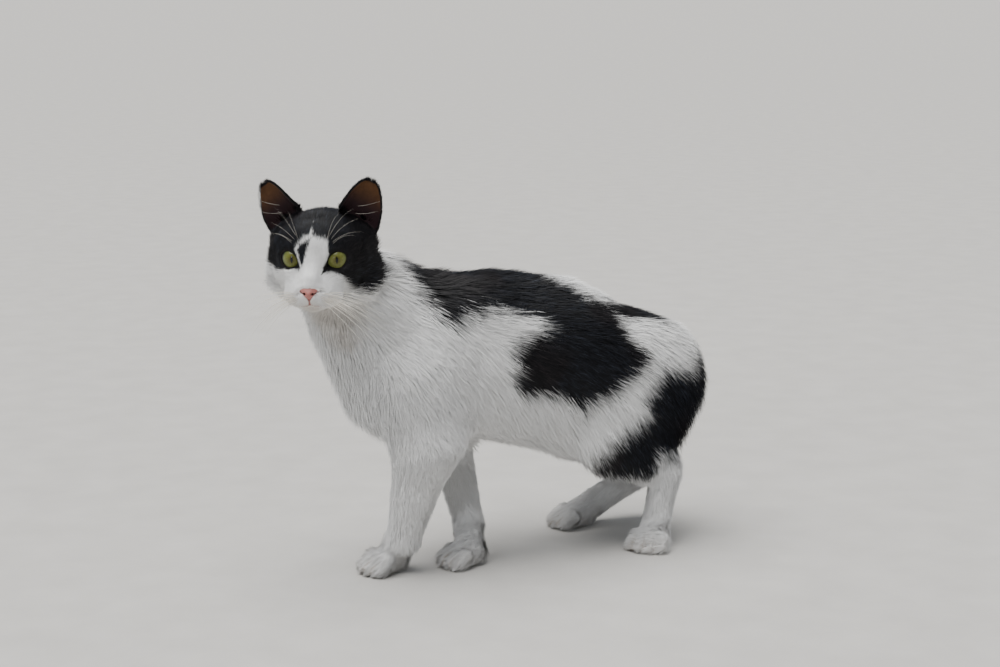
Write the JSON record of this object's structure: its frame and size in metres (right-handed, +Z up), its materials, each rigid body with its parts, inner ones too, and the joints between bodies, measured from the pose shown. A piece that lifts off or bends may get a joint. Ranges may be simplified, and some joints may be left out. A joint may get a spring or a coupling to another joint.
{
  "type": "manx cat",
  "caption": "Life-size still model of a tailless black-and-white cat in mid stride, head turned to its left, standing on flat soles.",
  "frame": {"origin": "on the floor, under the middle of the model's box", "axes": "+X from the head to the rump, +Y to the cat's right side, +Z up"},
  "size_m": [0.442, 0.1632, 0.3428],
  "materials": {
    "coat_black": "short soft black fur with a brown and blue sheen",
    "coat_white": "short soft white fur, faintly warm in its depths",
    "ear": "black velvet fur outside, thin dark brown skin inside",
    "nose_leather": "pink, finely pebbled, slightly moist",
    "eye": "wet, glossy yellow-green eye with a black slit pupil"
  },
  "bodies": {
    "root": {"head": "coat_black", "muzzle": "coat_white", "nose_leather": "nose_leather", "ear_left": "ear", "ear_right": "ear", "eye_left": "eye", "eye_right": "eye", "neck": "coat_white", "chest": "coat_white", "torso": "coat_black", "rump": "coat_black", "upper_arm_left": "coat_white", "upper_arm_right": "coat_black", "forearm_left": "coat_white", "forearm_right": "coat_white", "forepaw_left": "coat_white", "forepaw_right": "coat_white", "thigh_left": "coat_black", "thigh_right": "coat_black", "shank_left": "coat_white", "shank_right": "coat_white", "hindpaw_left": "coat_white", "hindpaw_right": "coat_white"}
  },
  "joints": []
}
